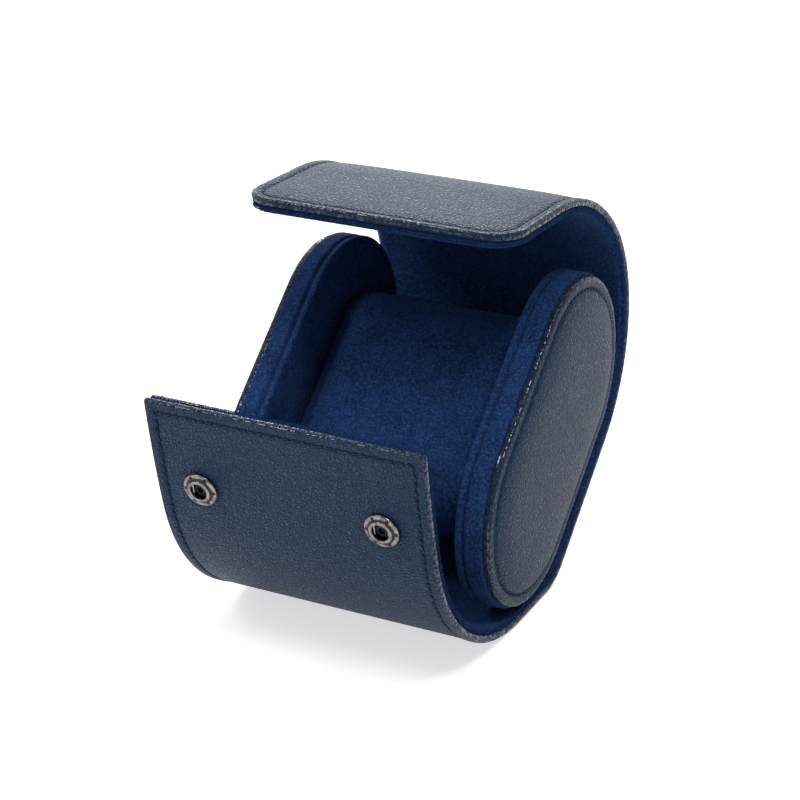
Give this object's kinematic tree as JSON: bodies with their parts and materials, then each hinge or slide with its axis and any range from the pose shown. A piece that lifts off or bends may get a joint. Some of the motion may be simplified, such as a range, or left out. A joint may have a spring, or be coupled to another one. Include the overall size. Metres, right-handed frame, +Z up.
{
  "type": "leather watch case",
  "caption": "Open leather watch case: a lined wrap with a snap flap and lid, round a slide-out insert with padded oval end caps and a watch pillow.",
  "frame": {"origin": "on the table under the middle of the open case", "axes": "+X along the case's width, to the right as the open front is seen; +Y to its back; +Z up"},
  "size_m": [0.087, 0.1388, 0.1166],
  "materials": {
    "navy_leather": "matte",
    "blue_suede": "matte",
    "fibre_board": "matte",
    "interlining": "matte",
    "foam": "matte",
    "cap_foam_board": "matte",
    "gunmetal": "satin",
    "spring_steel": "satin",
    "brass": "satin"
  },
  "bodies": {
    "flap": {"flap_leather": "navy_leather", "flap_board": "fibre_board", "flap_lining": "blue_suede", "snap_sockets": "gunmetal", "snap_springs": "spring_steel", "socket_rivets": "gunmetal"},
    "front": {"front_leather": "navy_leather", "front_interlining": "interlining", "front_lining": "blue_suede"},
    "cradle": {"base_leather": "navy_leather", "base_board": "fibre_board", "base_lining": "blue_suede"},
    "back": {"back_leather": "navy_leather", "back_interlining": "interlining", "back_lining": "blue_suede"},
    "crown": {"crown_leather": "navy_leather", "crown_interlining": "interlining", "crown_lining": "blue_suede"},
    "lid": {"lid_leather": "navy_leather", "lid_board": "fibre_board", "lid_lining": "blue_suede", "snap_studs": "gunmetal", "stud_rivets": "brass"},
    "insert": {"left_cap_face": "navy_leather", "left_cap_pad": "foam", "left_cap_core": "cap_foam_board", "left_cap_band": "blue_suede", "left_cap_lining": "blue_suede", "right_cap_face": "navy_leather", "right_cap_pad": "foam", "right_cap_core": "cap_foam_board", "right_cap_band": "blue_suede", "right_cap_lining": "blue_suede", "spine_board": "fibre_board", "spine_lining": "blue_suede", "pillow_cover": "blue_suede", "pillow_foam": "foam"}
  },
  "joints": [
    {"name": "front_fold", "type": "hinge", "parent": "cradle", "child": "front", "pos_m": [0, -0.0157, 0.00446], "axis": [-1, 0, 0], "range_deg": [-12, 30]},
    {"name": "flap_fold", "type": "hinge", "parent": "front", "child": "flap", "pos_m": [0, -0.05052, 0.02594], "axis": [-1, 0, 0], "range_deg": [-12, 30]},
    {"name": "back_fold", "type": "hinge", "parent": "cradle", "child": "back", "pos_m": [0, 0.0485, 0.03164], "axis": [1, 0, 0], "range_deg": [-12, 12]},
    {"name": "crown_fold", "type": "hinge", "parent": "back", "child": "crown", "pos_m": [0, 0.06376, 0.07763], "axis": [1, 0, 0], "range_deg": [-15, 15]},
    {"name": "lid_fold", "type": "hinge", "parent": "crown", "child": "lid", "pos_m": [0, 0.03665, 0.10648], "axis": [1, 0, 0], "range_deg": [-14.4, 14.4]},
    {"name": "insert_slide", "type": "slide", "parent": "cradle", "child": "insert", "axis": [1, 0, 0], "range_m": [-0.085, 0.085]}
  ],
  "couplings": [
    {"joint": "flap_fold", "follows": "front_fold", "ratio": 1},
    {"joint": "crown_fold", "follows": "back_fold", "ratio": 1.25},
    {"joint": "lid_fold", "follows": "back_fold", "ratio": 1.2}
  ]
}
